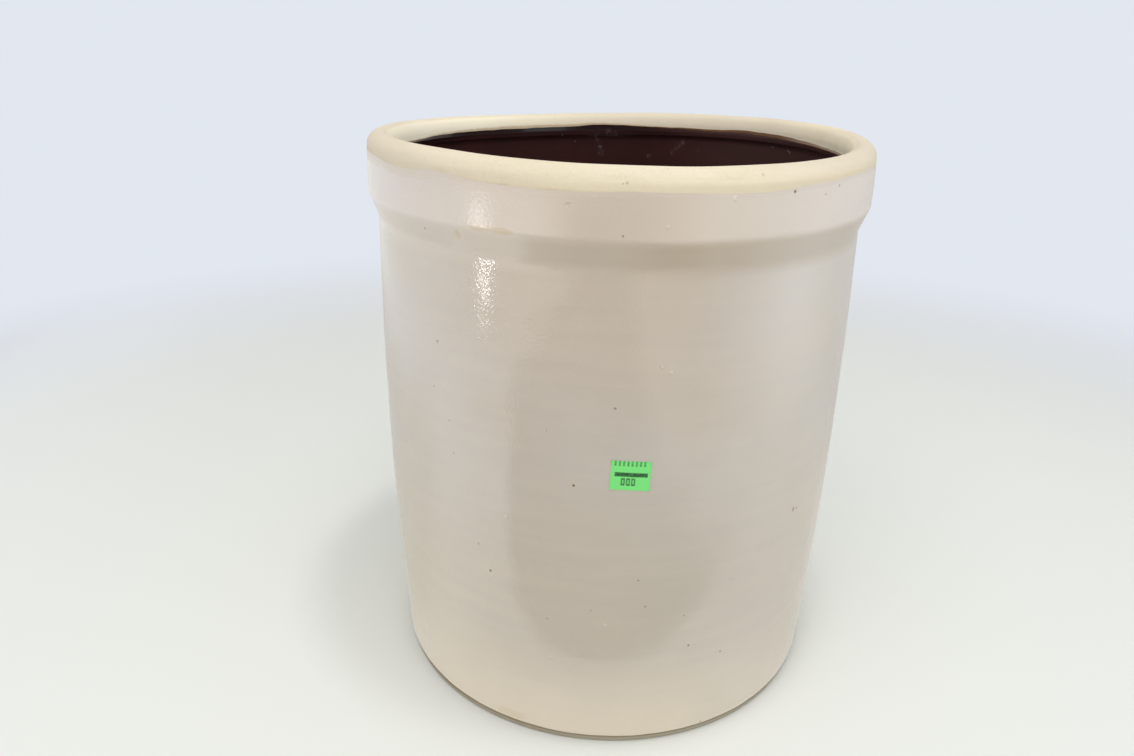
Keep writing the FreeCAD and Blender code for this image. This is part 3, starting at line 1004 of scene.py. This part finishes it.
# Lamps: name, place, aim, width, height, watts, tint, and whether gloss mirrors them
WARM_WHITE = (1, 0.985, 0.96)
COOL_WHITE = (0.82, 0.92, 1)
COLD_WHITE = (0.78, 0.89, 1)
PINK_WHITE = (1, 0.91, 0.90)
LAMPS = (
    ("key_above", (0.10, -0.16, 1.35), (0, 0, 0.1), 0.12, 0.12, 2.8, WARM_WHITE, True),
    ("soft_front", (-0.1, -0.8, 1.5), (0, 0, 0.15), 1.2, 0.9, 8.5, WARM_WHITE, False),
    ("soft_corner", (0.95, -0.9, 0.9), (0, 0, 0.2), 0.7, 0.7, 1.3, COOL_WHITE, True),
    ("soft_left", (-0.75, 0.0, 0.50), (0, 0.0, 0.49), 1.3, 0.9, 1.7, COLD_WHITE, False),
    ("soft_right", (0.75, -0.15, 0.62), (0, -0.15, 0.61), 1.6, 0.8, 2.6, COOL_WHITE, False),
    ("strip_left", (-0.645, -0.466, 0.146), (-0.06, -0.12, 0.28), 0.016, 0.135, 0.205, PINK_WHITE, True),
)

# Camera, found by fitting the pot's outline: its place, its turns in radians, its lens in photo pixels
EYE = (0, -0.5005, 0.3696)
YAW = -0.0540
PITCH = 0.3827
ROLL = 0.0164
FOCAL = 850
IMAGE_WIDE = 1134
SENSOR = 36


def painted_reflection_tone(paper):
    """Painted reflections: the tones that the paper glows in for gloss, pale at the left, shaded at the
    right and dark in front.
    """
    white = colour(254, 254, 252)
    haze = colour(208, 206, 199)
    shade = colour(226, 223, 217)
    dusk = colour(206, 203, 199)
    dark_front = colour(24, 22, 20)
    painted_glow = colour(205, 198, 192)

    left = paper.mix(paper.y.ramp(-0.14, -0.02) * paper.x.ramp(-0.8, -0.4), white, haze)
    right = paper.mix(paper.y.ramp(0.05, 0.35), shade, dusk)
    pale_side = paper.mix(paper.x.ramp(0.10, 0.20), left, right)
    beside = (paper.x * -1 - 0.05).most(0)
    front_line = paper.y + 0.192 + (beside * beside * 2.6).least(beside * 0.75)
    in_front = front_line.ramp(0.006, -0.008) * paper.x.ramp(-0.56, -0.44)
    return paper.mix(in_front, pale_side, paper.mix(paper.x.ramp(0.13, 0.26), dark_front, painted_glow))


def studio_paper():
    """Matt paper. For gloss it glows in painted reflection tones of its own, and far behind the pot it has
    one plain tone.
    """
    paper = Finish("studio_paper")
    pale = colour(236, 237, 232)
    far = colour(226, 231, 240)

    def light_path(ray):
        return paper.node("ShaderNodeLightPath", output=ray)

    glossy = light_path("Is Glossy Ray")
    seen = light_path("Is Camera Ray").most(light_path("Is Transmission Ray"))
    distance = paper.vectors("LENGTH", paper.place, output="Value")
    share = (seen * distance.ramp(0.5, 1.1) * paper.y.ramp(-0.25, 0.0)).most(glossy)
    tone = paper.mix(glossy, far, painted_reflection_tone(paper))
    matt = paper.node("ShaderNodeBsdfDiffuse", None, {"Color": pale})
    # Glows with the far plain tone for the camera, and with painted reflections for gloss.
    plain = paper.node("ShaderNodeEmission", None, {"Color": tone, "Strength": 1.0})
    return paper.close(paper.node("ShaderNodeMixShader", None, {0: share, 1: matt, 2: plain}))


def backdrop():
    """Paper that lies under the pot and sweeps up into a wall behind it."""
    bpy.ops.object.select_all(action="DESELECT")
    bpy.ops.mesh.primitive_plane_add(size=1)
    sweep = bpy.context.object
    sweep.name = "studio_sweep"
    open_piece(sweep)
    bpy.ops.mesh.select_all(action="SELECT")
    bpy.ops.transform.resize(value=(2 * SWEEP_HALF, SWEEP_BACK - SWEEP_FRONT, 1))
    bpy.ops.transform.translate(value=(0, (SWEEP_BACK + SWEEP_FRONT) / 2, 0))
    pick_points(sweep, lambda co: co.y > 0)
    length = SWEEP_CURVE * math.pi / 2 / SWEEP_STEPS
    for number in range(SWEEP_STEPS):
        angle = math.pi / 2 * (number + 0.5) / SWEEP_STEPS
        rise = (0, length * math.cos(angle), length * math.sin(angle))
        bpy.ops.mesh.extrude_region_move(TRANSFORM_OT_translate={"value": rise})
    bpy.ops.mesh.extrude_region_move(TRANSFORM_OT_translate={"value": (0, 0, SWEEP_WALL)})
    close_piece()
    smooth(sweep, SWEEP_SHARP)
    sweep.data.materials.append(studio_paper())


def light_air():
    """Even white light from all round, weaker in what gloss mirrors."""
    world = bpy.data.worlds.new("studio_air")
    world.use_nodes = True
    tree = world.node_tree
    air = tree.nodes["Background"]
    air.inputs["Color"].default_value = (1, 1, 1, 1)
    path = tree.nodes.new("ShaderNodeLightPath")
    dimmer = tree.nodes.new("ShaderNodeMapRange")
    dimmer.inputs["To Min"].default_value = AIR
    dimmer.inputs["To Max"].default_value = AIR_MIRRORED
    tree.links.new(path.outputs["Is Glossy Ray"], dimmer.inputs["Value"])
    tree.links.new(dimmer.outputs["Result"], air.inputs["Strength"])
    bpy.context.scene.world = world


def lamp(name, place, aim, wide, tall, power, tint, mirrored):
    """Soft box that the camera doesn't see, and that gloss may leave out too."""
    light = bpy.data.lights.new(name, "AREA")
    light.shape = "RECTANGLE"
    light.size = wide
    light.size_y = tall
    light.energy = power
    light.color = tint
    box = bpy.data.objects.new(name, light)
    box.location = place
    box.rotation_euler = (Vector(aim) - Vector(place)).to_track_quat("-Z", "Y").to_euler()
    box.visible_camera = False
    box.visible_glossy = mirrored
    bpy.context.scene.collection.objects.link(box)


def camera():
    """The camera at the photograph's place, with its aim and lens."""
    ahead = Vector((math.sin(YAW) * math.cos(PITCH), math.cos(YAW) * math.cos(PITCH), -math.sin(PITCH)))
    level_right = ahead.cross(Vector((0, 0, 1))).normalized()
    level_up = level_right.cross(ahead)
    right = math.cos(ROLL) * level_right + math.sin(ROLL) * level_up
    up = math.cos(ROLL) * level_up - math.sin(ROLL) * level_right
    data = bpy.data.cameras.new("camera")
    data.sensor_width = SENSOR
    data.lens = SENSOR * FOCAL / IMAGE_WIDE
    eye = bpy.data.objects.new("camera", data)
    eye.matrix_world = Matrix.Translation(EYE) @ Matrix((right, up, -ahead)).transposed().to_4x4()
    bpy.context.scene.collection.objects.link(eye)
    bpy.context.scene.camera = eye


clay_body()
cream_coat()
brown_coat()
paper_label()
light_air()
backdrop()
for row in LAMPS:
    lamp(*row)
camera()
bpy.context.scene.view_settings.view_transform = "Standard"
